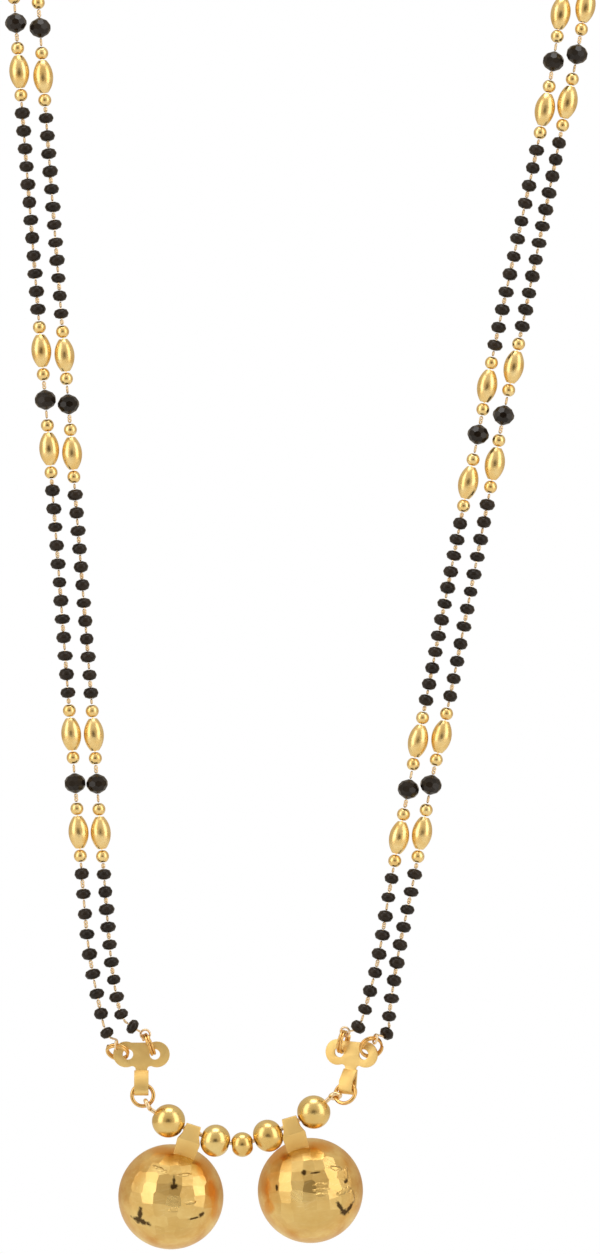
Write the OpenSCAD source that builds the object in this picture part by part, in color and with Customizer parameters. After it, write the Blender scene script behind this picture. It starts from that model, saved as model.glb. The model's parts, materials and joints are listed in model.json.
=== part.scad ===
// Two-strand mangalsutra: four strings of black and gold beads, two end bars,
// a wired row of gold balls and two round gold cups, with an S-hook at the nape.
// Millimetres. +Z is up, the front faces -Y and the origin is at the nape.

/* [Strings] */
// Diameter of a black seed bead
seed_d = 2.7; // [2:0.1:3.2]
// Diameter of the faceted black bead in the middle of a group
black_bead_d = 3.9; // [3.2:0.1:4.2]
// Length of the faceted black bead along the string
black_bead_l = 3.7; // [3:0.1:4]
// Number of facets round the faceted black bead
black_bead_facets = 10; // [8:2:12]
// Diameter of the flat table at each end of the faceted black bead
black_table_d = 2.1; // [1.6:0.1:2.6]
// Length of the girdle of the faceted black bead
black_girdle_l = 0.75; // [0.4:0.05:1]
// Diameter of a small gold ball
small_ball_d = 2.4; // [1.8:0.1:2.8]
// Diameter of a gold oval bead
oval_d = 3.7; // [3:0.1:4.2]
// Length of a gold oval bead
oval_l = 5.9; // [5:0.1:6.4]
// Wall of a gold oval bead round its bore's mouth
oval_lip = 0.25; // [0.15:0.05:0.35]
// Wire links that show between a black bead and the gold beads beside it
link_gap = 1.6; // [1:0.1:2]
// Wire that shows between a group of gold beads and the seed beads
run_gap = 1.05; // [0.8:0.05:1.5]
// Wire that shows between a double ring and the first seed bead
end_gap = 1.75; // [1.7:0.05:2.2]
// Wire that shows between a back ring and the last seed bead
back_gap = 4.5; // [4:0.1:6]
// Clearance between two gold beads that sit together
bead_gap = 0.15; // [0.12:0.01:0.2]
// Diameter of the wire that the strings are threaded on
string_wire_d = 0.55; // [0.4:0.05:0.6]
// Diameter of the bore through a bead of the strings
string_bore_d = 1.0; // [0.85:0.05:1.1]
// Distance along a string from one faceted black bead to the next at the back
group_pitch = 68.8; // [64:0.2:74]

/* [End bars] */
// Thickness of the sheet that the end bars are cut from
sheet_t = 0.45; // [0.4:0.01:0.5]
// Distance from the middle of an end bar to the centre of an ear
ear_x = 2.8; // [2.6:0.1:3.2]
// Outer radius of an ear
ear_r = 2.35; // [2.2:0.05:2.6]
// Distance from the middle of an end bar to the centre of a hole
hole_x = 2.45; // [2.3:0.05:2.6]
// Radius of the hole in an ear
hole_r = 0.95; // [0.9:0.01:1.1]
// Height of the sheet between the two ears
web_h = 4.3; // [3.8:0.1:4.4]
// Width of the strip where it leaves the ears
neck_w = 2.1; // [1.8:0.1:2.4]
// Width of the strip that is rolled into a hook
strip_w = 2.6; // [2.4:0.1:2.8]
// Gap between the two walls of the rolled hook
hook_gap = 1.3; // [1.25:0.05:1.5]
// Height of the lowest point of the hook under the middle of the ears
hook_drop = 7.45; // [7:0.05:8]
// Height of the crease of the hook's front wall under the middle of the ears
crease_drop = 4.95; // [4.6:0.05:5]
// Height where the hook's front wall meets the strip again
tip_drop = 3.2; // [3:0.05:3.6]

/* [Rings] */
// Wire diameter of a double ring in an ear
double_wire_d = 0.5; // [0.4:0.05:0.55]
// Mean radius of a double ring
double_ring_r = 1.95; // [1.8:0.05:2.1]
// How far the two turns of a double ring are sunk into each other
double_bite = 0.05; // [0.03:0.01:0.1]
// Wire diameter of the plain ring in a hook
plain_wire_d = 0.7; // [0.6:0.05:0.75]
// Mean radius of the plain ring in a hook
plain_ring_r = 1.95; // [1.8:0.05:2.1]

/* [Balls and wire] */
// Diameter of the wire through the balls
row_wire_d = 0.8; // [0.6:0.05:0.85]
// Diameter of the bore through a ball
row_bore_d = 1.1; // [1:0.05:1.3]
// Diameter of a large ball
large_ball_d = 6.1; // [5.4:0.1:6.3]
// Length of a large ball along the wire
large_ball_l = 6.0; // [5.4:0.1:6.1]
// Diameter of a medium ball
medium_ball_d = 5.9; // [5.4:0.1:6]
// Length of a medium ball along the wire
medium_ball_l = 5.3; // [5:0.1:5.4]
// Diameter of the small ball in the middle
centre_ball_d = 4.5; // [4:0.1:4.8]
// Length of the small ball in the middle along the wire
centre_ball_l = 4.1; // [3.6:0.1:4.2]

/* [Cups] */
// Radius of the sphere that a cup is part of
cup_sphere_r = 9.75; // [9.4:0.05:10]
// Depth of a cup from rim to crown
cup_depth = 8.0; // [7:0.1:8.6]
// Wall of a cup
cup_wall = 0.5; // [0.4:0.05:0.8]
// Distance from the wire to the centre of a cup
cup_hang = 12.85; // [12.7:0.05:13.4]
// Thickness of the strip that a bail is folded from
bail_t = 0.5; // [0.4:0.05:0.6]
// Width of a bail at its top
bail_top_w = 2.7; // [2.4:0.1:3]
// Width of a bail just under the wire
bail_neck_w = 3.2; // [3:0.1:3.3]
// Width of a bail at its widest
bail_wide_w = 4.3; // [4:0.1:4.4]
// Width of a bail where it meets the cup
bail_foot_w = 4.0; // [3.6:0.1:4.2]
// Depth of a bail at its crease, from front to back
bail_depth = 3.5; // [3.2:0.1:3.8]
// Thickness of a bail's foot, where its two walls meet
bail_foot_t = 1.2; // [1.1:0.1:1.5]
// How far a bail's foot sits behind the wire
bail_foot_back = 0.9; // [0.7:0.1:1.1]
// How much nearer a bail sits to the large ball beside it than to the medium one
bail_shift = 0.15; // [0.1:0.01:0.2]
// Clearance between the wire and the top of a bail
bail_clearance = 0.06; // [0.05:0.01:0.1]

/* [Back] */
// Wire diameter of the S-hook
s_wire_d = 1.1; // [0.9:0.1:1.2]
// Mean radius of each bend of the S-hook
s_bend_r = 2.6; // [2.4:0.1:3]
// Wire diameter of a back ring
back_wire_d = 0.8; // [0.7:0.05:0.9]
// Mean radius of a back ring
back_ring_r = 2.2; // [2.1:0.1:2.6]

/* [Hidden] */

gold = [0.85, 0.66, 0.3];
wire_gold = [0.88, 0.7, 0.46];
bead_black = [0.07, 0.06, 0.055];

// Routes of the four strings from their ring at the front to their ring at the back.
// Each point is x, y, z and 1 where a faceted black bead sits on it.
strand_routes = [
  [[-35.1, -100.3, -247.8, 0], [-36.2, -100, -244.2, 0], [-38.4, -100, -232.6, 0],
   [-39.7, -100, -218.6, 0], [-40.9, -100, -202.4, 1], [-42.2, -100, -185.8, 0],
   [-45, -100, -149.3, 0], [-46.3, -100, -132.7, 1], [-47.6, -100, -116.9, 0],
   [-50.5, -99.7, -80.5, 0], [-51.7, -99, -64.1, 1], [-53.6, -96, -40, 0],
   [-56, -88, -20, 0], [-57.6, -72, -3, 0], [-55, -50, 9, 0], [-46, -28, 14, 0],
   [-32, -12, 12, 0], [-19, -3, 7, 0]],
  [[-30.3, -99.6, -246.8, 0], [-32.6, -100, -244.2, 0], [-34.3, -100, -234.9, 0],
   [-35.7, -100, -218.3, 0], [-36.9, -100, -202.5, 1], [-38, -100, -186.3, 0],
   [-40.9, -100, -149.6, 0], [-42.1, -100, -133.5, 1], [-43.4, -100, -117.4, 0],
   [-46.2, -99.7, -81.2, 0], [-47.3, -99, -65, 1], [-49.2, -96, -41, 0],
   [-51.6, -88, -22.5, 0], [-53.2, -72.5, -6.5, 0], [-51, -51, 5, 0],
   [-43, -30, 9.6, 0], [-30, -14.5, 8, 0], [-18, -6.5, 4, 0]],
  [[10.7, -99.6, -246.6, 0], [12.7, -100, -240.3, 0], [14.4, -100, -233.4, 0],
   [16.6, -100, -220, 0], [19.7, -100, -203.5, 1], [22.9, -100, -187.4, 0],
   [29.4, -100, -153.7, 0], [32.4, -100, -139, 1], [35.8, -100, -121, 0],
   [43, -99.7, -87.4, 0], [46.1, -99, -71.1, 1], [49.8, -96, -46, 0],
   [53, -88, -25, 0], [54.6, -72.5, -7.5, 0], [52, -51, 5, 0],
   [43.5, -30, 9.6, 0], [30, -14.5, 8, 0], [18, -6.5, 4, 0]],
  [[16, -100, -247.6, 0], [16.3, -100, -243.8, 0], [18.1, -100, -232.2, 0],
   [20.8, -100, -219.2, 0], [23.8, -100, -202.7, 1], [27.4, -100, -186.1, 0],
   [34, -100, -152, 0], [37, -100, -135.5, 1], [40.4, -100, -119.4, 0],
   [47.3, -99.7, -85, 0], [50.4, -99, -69.8, 1], [54.6, -96, -45, 0],
   [57.6, -88, -23, 0], [59, -72, -4, 0], [56, -50, 9, 0], [46.5, -28, 14, 0],
   [32, -12, 12, 0], [19, -3, 7, 0]]];

// End bars: place of the middle of the ears, turn about Z and roll about Y in degrees.
left_bar = [[-28.85, -99.1, -251.75], 0, 0];
right_bar = [[9.4, -99.1, -251.55], -25, 4];

// Double rings: bar, which ear, offset in the hole across and up, direction of the
// hole seen from the ring's centre, lean out of the edge-on position, and the angle
// on the ring where the string holds it.
double_rings = [
  [left_bar, -1, [-0.02, 0], -14, 42, 105],
  [left_bar, 1, [-0.35, 0], -69, 8, 180],
  [right_bar, -1, [0.2, 0], -101, 8, 172],
  [right_bar, 1, [0.02, 0], -133, -40, 160]];

// Plain rings: bar, offset along the hook, lean about the hook's length, and the
// angle on the ring where the row's wire holds it.
plain_rings = [[left_bar, 0.25, 0, -62], [right_bar, 0, 25, 202]];

// Centres of the five balls from left to right, in the plane of the row's wire.
row_y = -100;
row_balls = [[-23.9, row_y, -263.8], [-15.4, row_y, -267.4], [-10.5, row_y, -268.1],
             [-5.8, row_y, -266.5], [2.5, row_y, -262.2]];

// How far each cup hangs outwards from straight down, in degrees.
left_cup_lean = 17.7;
right_cup_lean = 16.1;

sweep_step = 6.5;
string_wire_sides = 6;
seed_tube_sides = 8;
spline_steps = 6;
eye_steps = 9;
eye_turn = 315;
hair = 0.02;

// Vector helpers
function unit(v) = v / norm(v);
function flat_to(v, n) = unit(v - (v * n) * n);
function turn_z(a, p) = [p.x * cos(a) - p.y * sin(a), p.x * sin(a) + p.y * cos(a), p.z];
function turn_y(a, p) = [p.x * cos(a) + p.z * sin(a), p.y, p.z * cos(a) - p.x * sin(a)];
function turn_bar(bar, p) = turn_z(bar[1], turn_y(bar[2], p));
function on_bar(bar, p) = bar[0] + turn_bar(bar, p);

// Double rings in the ears: distance between their two turns, centre, direction to the hole, direction along the wire there
double_pitch = double_wire_d - double_bite;
function double_hole(r) = [r[1] * hole_x + r[2][0], 0, r[2][1]];
function double_out(r) = [cos(r[3]), 0, sin(r[3])];
function double_along(r) = [-sin(r[3]) * sin(r[4]), -cos(r[4]), cos(r[3]) * sin(r[4])];
function double_frame(r) = [
  on_bar(r[0], double_hole(r) - double_ring_r * double_out(r)),
  turn_bar(r[0], double_out(r)), turn_bar(r[0], double_along(r))];

// Plain rings in the hooks, with the same three values
hook_y = -(hook_gap + sheet_t) / 2;
ring_lift = 0.9;
ring_top_drop = hook_drop - sheet_t - hook_gap / 2 - ring_lift;
function plain_frame(r) = [
  on_bar(r[0], [r[1], hook_y, -ring_top_drop]
    - plain_ring_r * [0, sin(r[2]), cos(r[2])]),
  turn_bar(r[0], [1, 0, 0]), turn_bar(r[0], [0, sin(r[2]), cos(r[2])])];

// Back rings, level, each through one bend of the S-hook
ring_play = 0.1;
back_x = 2 * s_bend_r - s_wire_d / 2 - back_wire_d / 2 - ring_play + back_ring_r;
function back_frame(side) = [[side * back_x, 0, 0], [side, 0, 0], [0, 1, 0]];

// Point on a ring and the direction of its wire there
function ring_point(f, r, a) = f[0] + r * (cos(a) * f[1] + sin(a) * f[2]);
function ring_tangent(f, a) = cos(a) * f[2] - sin(a) * f[1];

// Smooth route through chosen points, its length and points along it
function curve(a, b, c, d, t) = 0.5 * ((2 * b) + (c - a) * t
  + (2 * a - 5 * b + 4 * c - d) * t * t + (3 * b - a - 3 * c + d) * t * t * t);
function samples(p) = [for (i = [0:len(p) - 2], j = [0:spline_steps - 1])
  curve(p[max(i - 1, 0)], p[i], p[i + 1], p[min(i + 2, len(p) - 1)], j / spline_steps),
  p[len(p) - 1]];
function lengths(q) = [for (i = 0, s = 0; i < len(q);
  s = s + (i < len(q) - 1 ? norm(q[i + 1] - q[i]) : 0), i = i + 1) s];
function table(q, s, k) = [for (i = [0:len(q) - 1]) [s[i], q[i][k]]];

// A string: its ends on the rings and its tables of x, y and z against length
function side_of(n) = n < 2 ? -1 : 1;
function back_angle(n) = (n == 0 ? 1 : n == 1 ? -1 : n == 2 ? -1 : 1) * 28;
function start_frame(n) = double_frame(double_rings[n]);
function start_angle(n) = double_rings[n][5];
function route_points(n) = concat(
  [ring_point(start_frame(n), double_ring_r, start_angle(n))],
  [for (p = strand_routes[n]) [p[0], p[1], p[2]]],
  [ring_point(back_frame(side_of(n)), back_ring_r, back_angle(n))]);
route_samples = [for (n = [0:3]) samples(route_points(n))];
route_lengths = [for (n = [0:3]) lengths(route_samples[n])];
route_tables = [for (n = [0:3]) [for (k = [0:2]) table(route_samples[n], route_lengths[n], k)]];
function at(n, s) = [for (k = [0:2]) lookup(s, route_tables[n][k])];
function along(n, s) = unit(at(n, s + 0.4) - at(n, s - 0.4));
function total(n) = route_lengths[n][len(route_lengths[n]) - 1];

// Middles of the bead groups: the marked points, and one more at the back
function marked(n) = [for (i = [0:len(strand_routes[n]) - 1])
  if (strand_routes[n][i][3] == 1) route_lengths[n][(i + 1) * spline_steps]];
function groups(n) = concat(marked(n), [marked(n)[len(marked(n)) - 1] + group_pitch]);

// Places of the beads of a group, measured from its middle
near_ball_s = black_bead_l / 2 + link_gap + small_ball_d / 2;
oval_s = near_ball_s + small_ball_d / 2 + bead_gap + oval_l / 2;
far_ball_s = oval_s + oval_l / 2 + bead_gap + small_ball_d / 2;
group_half = far_ball_s + small_ball_d / 2 + run_gap;
group_stations = [-oval_s, -near_ball_s, 0, near_ball_s, oval_s];

// Stretches of seed beads: start and end
function runs(n) = let (g = groups(n)) concat(
  [[end_gap, g[0] - group_half]],
  [for (i = [0:len(g) - 2]) [g[i] + group_half, g[i + 1] - group_half]],
  [[g[len(g) - 1] + group_half, total(n) - back_gap]]);
function run_step(i) = i == 0 ? 0.6 * sweep_step : sweep_step;
function stations(a, b, step) = let (k = ceil((b - a) / step))
  [for (i = [0:k]) a + (b - a) * i / k];

// Rings of a swept tube, carried along without twist
function mean_dir(q, i) = unit(
  (i < len(q) - 1 ? unit(q[i + 1] - q[i]) : [0, 0, 0])
  + (i > 0 ? unit(q[i] - q[i - 1]) : [0, 0, 0]));
function across(q, i, v) = i == len(q) ? []
  : let (n = flat_to(v, mean_dir(q, i))) concat([n], across(q, i + 1, n));
function first_side(q) = let (t = mean_dir(q, 0))
  flat_to(abs(t.z) < 0.9 ? [0, 0, 1] : [1, 0, 0], t);

function ring_corners(q, d, sides) = let (normals = across(q, 0, first_side(q)))
  [for (i = [0:len(q) - 1], k = [0:sides - 1])
    let (t = mean_dir(q, i), n = normals[i], a = 360 * k / sides)
    q[i] + d / 2 * (cos(a) * n + sin(a) * cross(t, n))];
function wall(rings, sides, first) = [for (i = [0:rings - 2], k = [0:sides - 1])
  let (j = (k + 1) % sides, a = first + i * sides, b = a + sides)
  each [[a + k, b + k, b + j], [a + k, b + j, a + j]]];
function end_ring(sides, outer, inner) = [for (k = [0:sides - 1]) let (j = (k + 1) % sides)
  each [[outer + k, outer + j, inner + j], [outer + k, inner + j, inner + k]]];
function flipped(faces) = [for (f = faces) [f[0], f[2], f[1]]];

// Solid tube along points q
module rod_tube(q, d, sides) {
  last = (len(q) - 1) * sides;
  polyhedron(ring_corners(q, d, sides), concat(
    wall(len(q), sides, 0),
    [[for (k = [0:sides - 1]) k]],
    [[for (k = [0:sides - 1]) last + sides - 1 - k]]));
}

// Hollow tube along points q, open at both ends
module bored_tube(q, d, bore_d, sides) {
  last = (len(q) - 1) * sides;
  inner = len(q) * sides;
  polyhedron(
    concat(ring_corners(q, d, sides), ring_corners(q, bore_d, sides)),
    concat(wall(len(q), sides, 0), flipped(wall(len(q), sides, inner)),
           end_ring(sides, 0, inner), flipped(end_ring(sides, last, inner + last))));
}

// Eye of a string's wire round a ring, from its cut end to the stem
eye_r = max(double_pitch + double_wire_d, back_wire_d) / 2 + 0.1 + string_wire_d / 2;
function eye(centre, axis, towards) = let (
  u = flat_to(towards - centre, axis), v = cross(axis, u))
  [for (i = [0:eye_steps]) let (a = eye_turn * (1 - i / eye_steps))
    centre + eye_r * (cos(a) * u + sin(a) * v)];
function backwards(q) = [for (i = [len(q) - 1:-1:0]) q[i]];

// Way of a string's wire: eye, stem, the runs and groups in turn, stem, eye
stem = 0.35;
function wire_path(n) = let (
  g = groups(n), r = runs(n), f = start_frame(n), b = back_frame(side_of(n)),
  first = eye(at(n, 0), ring_tangent(f, start_angle(n)), at(n, end_gap)),
  last = eye(at(n, total(n)), ring_tangent(b, back_angle(n)), at(n, total(n) - back_gap)))
  concat(first, [at(n, end_gap - stem)],
    [for (i = [0:len(r) - 1]) each concat(
      [for (s = stations(r[i][0], r[i][1], run_step(i))) at(n, s)],
      i < len(g) ? [for (s = group_stations) at(n, g[i] + s)] : [])],
    backwards(last));

module string_wire(n) {
  color(wire_gold) rod_tube(wire_path(n), string_wire_d, string_wire_sides);
}

module seed_runs(n) {
  r = runs(n);
  color(bead_black)
    for (i = [0:len(r) - 1])
      bored_tube([for (s = stations(r[i][0], r[i][1], run_step(i))) at(n, s)],
                 seed_d, string_bore_d, seed_tube_sides);
}

// Stands children on a string at length s, with Z along the string
module on_string(n, s) {
  t = along(n, s);
  translate(at(n, s)) rotate([0, acos(t.z), atan2(t.y, t.x)]) children();
}

module bore(length) {
  cylinder(d = string_bore_d, h = length + 1, center = true, $fn = 48);
}

module small_ball() {
  difference() {
    sphere(d = small_ball_d, $fn = 48);
    bore(small_ball_d);
  }
}

// Oval bead: an arc turned about its bore, cut short at both ends
oval_end_r = string_bore_d / 2 + oval_lip;
oval_arc_r = (pow(oval_l / 2, 2) + pow(oval_d / 2 - oval_end_r, 2)) / (oval_d - 2 * oval_end_r);
module oval_bead() {
  rotate_extrude($fn = 64)
    intersection() {
      translate([oval_d / 2 - oval_arc_r, 0]) circle(r = oval_arc_r, $fn = 200);
      translate([string_bore_d / 2, -oval_l / 2])
        square([oval_d / 2, oval_l]);
    }
}

module gold_beads(n) {
  color(gold)
    for (g = groups(n), way = [-1, 1]) {
      on_string(n, g + way * near_ball_s) small_ball();
      on_string(n, g + way * oval_s) oval_bead();
      on_string(n, g + way * far_ball_s) small_ball();
    }
}

// Faceted black bead: a flat table at each end, two rows of slanted facets and a girdle
module black_bead() {
  table_r = black_table_d / 2;
  rotate_extrude($fn = black_bead_facets)
    polygon([[string_bore_d / 2, -black_bead_l / 2], [table_r, -black_bead_l / 2],
             [black_bead_d / 2, -black_girdle_l / 2], [black_bead_d / 2, black_girdle_l / 2],
             [table_r, black_bead_l / 2], [string_bore_d / 2, black_bead_l / 2]]);
}

module black_beads(n) {
  color(bead_black)
    for (g = groups(n)) on_string(n, g) black_bead();
}

// Places children in a ring's plane, with X towards its hole and Z along its axis
module in_frame(f) {
  z = cross(f[1], f[2]);
  multmatrix([[f[1].x, f[2].x, z.x, f[0].x], [f[1].y, f[2].y, z.y, f[0].y],
              [f[1].z, f[2].z, z.z, f[0].z]]) children();
}

module double_ring(n) {
  color(gold) in_frame(start_frame(n))
    rotate_extrude($fn = 96)
      for (way = [-1, 1])
        translate([double_ring_r, way * double_pitch / 2])
          circle(d = double_wire_d, $fn = 32);
}

module plain_ring(r) {
  color(gold) in_frame(plain_frame(r))
    rotate_extrude($fn = 96) translate([plain_ring_r, 0]) circle(d = plain_wire_d, $fn = 32);
}

module back_ring(side) {
  color(gold) in_frame(back_frame(side))
    rotate_extrude($fn = 96) translate([back_ring_r, 0]) circle(d = back_wire_d, $fn = 32);
}

// End bar, seen from the front: two drilled ears, the web between them and the neck
neck_fillet = 0.6;
module bar_outline() {
  fillet_z = -web_h / 2 - neck_fillet;
  difference() {
    union() {
      for (way = [-1, 1]) translate([way * ear_x, 0]) circle(r = ear_r, $fn = 96);
      translate([-ear_x, -web_h / 2]) square([2 * ear_x, web_h]);
      translate([-neck_w / 2, -tip_drop]) square([neck_w, tip_drop]);
      translate([-neck_w / 2 - neck_fillet, fillet_z])
        square([neck_w + 2 * neck_fillet, neck_fillet + web_h / 4]);
    }
    for (way = [-1, 1]) {
      translate([way * hole_x, 0]) circle(r = hole_r, $fn = 64);
      translate([way * (neck_w / 2 + neck_fillet), fillet_z])
        circle(r = neck_fillet, $fn = 48);
    }
  }
}

// Rolled hook, seen from the side: the strip goes down behind, round the bottom and
// up in front to its crease, then leans back against itself.
tip_lap = 0.3;
tip_face = 1.2 * sheet_t;
tip_inside = 1.6 * sheet_t;
module hook_profile() {
  bend_z = -hook_drop + sheet_t + hook_gap / 2;
  outer_r = hook_gap / 2 + sheet_t;
  difference() {
    union() {
      translate([hook_y, bend_z]) circle(r = outer_r, $fn = 96);
      translate([hook_y - outer_r, bend_z])
        square([2 * outer_r, -crease_drop - bend_z]);
      polygon([[hook_y - outer_r, -crease_drop], [hook_y + outer_r, -crease_drop],
               [sheet_t / 2, -tip_drop + tip_lap], [-sheet_t / 2, -tip_drop + tip_lap],
               [-tip_face, -tip_drop]]);
    }
    translate([hook_y, bend_z]) circle(r = hook_gap / 2, $fn = 96);
    translate([hook_y - hook_gap / 2, bend_z])
      square([hook_gap, -crease_drop - bend_z]);
    polygon([[hook_y - hook_gap / 2, -crease_drop - hair],
             [hook_y + hook_gap / 2, -crease_drop - hair],
             [-sheet_t / 2, -tip_drop - tip_inside]]);
  }
}

module end_bar(bar) {
  color(gold) translate(bar[0]) rotate([0, 0, bar[1]]) rotate([0, bar[2], 0]) {
    rotate([90, 0, 0]) linear_extrude(sheet_t, center = true) bar_outline();
    rotate([90, 0, 90]) linear_extrude(strip_w, center = true) hook_profile();
  }
}

// Wire of the row: straight stretches from ball to ball, with an eye at each end
eye_clearance = 0.12;
row_eye_r = plain_wire_d / 2 + eye_clearance + row_wire_d / 2;
left_eye = ring_point(plain_frame(plain_rings[0]), plain_ring_r, plain_rings[0][3]);
right_eye = ring_point(plain_frame(plain_rings[1]), plain_ring_r, plain_rings[1][3]);
left_eye_axis = ring_tangent(plain_frame(plain_rings[0]), plain_rings[0][3]);
right_eye_axis = ring_tangent(plain_frame(plain_rings[1]), plain_rings[1][3]);
left_eye_out = flat_to(row_balls[0] - left_eye, left_eye_axis);
right_eye_out = flat_to(row_balls[4] - right_eye, right_eye_axis);
row_path = concat([left_eye + row_eye_r * left_eye_out], row_balls,
                  [right_eye + row_eye_r * right_eye_out]);

module rod(a, b, d) {
  v = b - a;
  translate(a) rotate([0, acos(v.z / norm(v)), atan2(v.y, v.x)])
    cylinder(d = d, h = norm(v), $fn = 48);
}

module row_rods(d, knee_d) {
  for (i = [0:len(row_path) - 2]) rod(row_path[i], row_path[i + 1], d);
  for (i = [1:len(row_path) - 2]) translate(row_path[i]) sphere(d = knee_d, $fn = 48);
}

module row_wire() {
  color(wire_gold) {
    row_rods(row_wire_d - 2 * hair, row_wire_d);
    in_frame([left_eye, left_eye_out, cross(left_eye_axis, left_eye_out)])
      rotate_extrude($fn = 64) translate([row_eye_r, 0]) circle(d = row_wire_d, $fn = 32);
    in_frame([right_eye, right_eye_out, cross(right_eye_axis, right_eye_out)])
      rotate_extrude($fn = 64) translate([row_eye_r, 0]) circle(d = row_wire_d, $fn = 32);
  }
}

// Ball of the row, a little flattened along the wire: its bore widens from the middle
// to both mouths, because the wire bends inside it.
module row_ball(i, d, length) {
  before = unit(row_path[i + 1] - row_path[i]);
  after = unit(row_path[i + 2] - row_path[i + 1]);
  mean = unit(before + after);
  bend = acos(min(1, before * after)) / 2;
  mouth_h = d / 2 + 1;
  mouth_r = row_bore_d / 2 + mouth_h * tan(bend);
  color(gold) translate(row_balls[i]) rotate([0, acos(mean.z), atan2(mean.y, mean.x)])
    rotate_extrude($fn = 96)
      intersection() {
        translate([(d - length) / 2, 0]) circle(d = length, $fn = 96);
        polygon([[row_bore_d / 2, 0], [mouth_r, mouth_h], [d, mouth_h],
                 [d, -mouth_h], [mouth_r, -mouth_h]]);
      }
}

// Where each bail sits: near the middle of the free wire between its two balls
function bail_place(large, medium) = let (
  way = unit(medium - large),
  free_middle = (norm(medium - large) + large_ball_l / 2 - medium_ball_l / 2) / 2)
  large + way * (free_middle - bail_shift);
left_bail = bail_place(row_balls[0], row_balls[1]);
right_bail = bail_place(row_balls[4], row_balls[3]);
function slope(a, b) = atan2(b.z - a.z, b.x - a.x);
left_slope = slope(row_balls[0], row_balls[1]);
right_slope = slope(row_balls[3], row_balls[4]);

// Cup with its bail: origin on the wire, -Z towards the cup's centre. The bail's strip
// is folded over the wire, creased below it and closed on a foot that stands on the cup.
fold_play = 0.2;
neck_drop = 0.9;
bail_crease_drop = 1.8;
wide_drop = 2.1;
closed_drop = 3.6;
closed_w = 0.5;
foot_drop = 4.9;
span = 60;
module vati(skew) {
  top = row_wire_d / 2 + bail_clearance + bail_top_w / 2 * sin(abs(skew));
  outer_top = top + bail_t;
  fold = row_wire_d / 2 + fold_play;
  crease = bail_depth / 2;
  foot_front = bail_foot_back - bail_foot_t / 2;
  foot_rear = bail_foot_back + bail_foot_t / 2;
  rim_y = cup_depth / 2;
  sphere_y = rim_y + cup_sphere_r - cup_depth;
  difference() {
    union() {
      difference() {
        rotate([90, 0, 90]) linear_extrude(2 * bail_wide_w, center = true)
          polygon([[-fold - bail_t, outer_top], [fold + bail_t, outer_top],
                   [crease, -bail_crease_drop], [foot_rear, -foot_drop],
                   [foot_rear, -cup_hang], [foot_front, -cup_hang],
                   [foot_front, -foot_drop], [-crease, -bail_crease_drop]]);
        rotate([90, 0, 90]) linear_extrude(3 * bail_wide_w, center = true)
          polygon([[-fold, top], [fold, top], [crease - bail_t, -bail_crease_drop],
                   [bail_foot_back + closed_w / 2, -closed_drop],
                   [bail_foot_back - closed_w / 2, -closed_drop],
                   [bail_t - crease, -bail_crease_drop]]);
        difference() {
          cube(span, center = true);
          rotate([90, 0, 0]) linear_extrude(span / 2, center = true)
            polygon([[-bail_top_w / 2, outer_top], [bail_top_w / 2, outer_top],
                     [bail_neck_w / 2, -neck_drop], [bail_wide_w / 2, -wide_drop],
                     [bail_foot_w / 2, -foot_drop], [bail_foot_w / 2, -cup_hang],
                     [-bail_foot_w / 2, -cup_hang], [-bail_foot_w / 2, -foot_drop],
                     [-bail_wide_w / 2, -wide_drop], [-bail_neck_w / 2, -neck_drop]]);
        }
      }
      translate([0, sphere_y, -cup_hang]) sphere(r = cup_sphere_r, $fn = 128);
    }
    translate([0, sphere_y, -cup_hang]) sphere(r = cup_sphere_r - cup_wall, $fn = 128);
    translate([0, rim_y + span / 2, -cup_hang]) cube(span, center = true);
  }
}

module left_vati() {
  color(gold) translate(left_bail) rotate([0, left_cup_lean, 0])
    vati(-left_slope - left_cup_lean);
}
module right_vati() {
  color(gold) translate(right_bail) rotate([0, -right_cup_lean, 0])
    vati(right_slope - right_cup_lean);
}

module s_hook() {
  color(gold) {
    for (side = [0, 1]) rotate([0, 180 * side, 0])
      translate([-s_bend_r, 0, 0]) rotate([90, 0, 0])
        rotate_extrude(start = 1, angle = 250, $fn = 96)
          translate([s_bend_r, 0]) circle(d = s_wire_d, $fn = 32);
    sphere(d = s_wire_d * 1.5, $fn = 48);
  }
}

seed_runs(0);  // left_outer_seeds
gold_beads(0);  // left_outer_gold
black_beads(0);  // left_outer_black
string_wire(0);  // left_outer_wire
seed_runs(1);  // left_inner_seeds
gold_beads(1);  // left_inner_gold
black_beads(1);  // left_inner_black
string_wire(1);  // left_inner_wire
seed_runs(2);  // right_inner_seeds
gold_beads(2);  // right_inner_gold
black_beads(2);  // right_inner_black
string_wire(2);  // right_inner_wire
seed_runs(3);  // right_outer_seeds
gold_beads(3);  // right_outer_gold
black_beads(3);  // right_outer_black
string_wire(3);  // right_outer_wire
double_ring(0);  // left_outer_ring
double_ring(1);  // left_inner_ring
double_ring(2);  // right_inner_ring
double_ring(3);  // right_outer_ring
end_bar(left_bar);  // left_end_bar
end_bar(right_bar);  // right_end_bar
plain_ring(plain_rings[0]);  // left_plain_ring
plain_ring(plain_rings[1]);  // right_plain_ring
row_wire();
row_ball(0, large_ball_d, large_ball_l);  // left_large_ball
row_ball(1, medium_ball_d, medium_ball_l);  // left_medium_ball
row_ball(2, centre_ball_d, centre_ball_l);  // centre_ball
row_ball(3, medium_ball_d, medium_ball_l);  // right_medium_ball
row_ball(4, large_ball_d, large_ball_l);  // right_large_ball
left_vati();
right_vati();
back_ring(-1);  // left_back_ring
back_ring(1);  // right_back_ring
s_hook();
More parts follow.
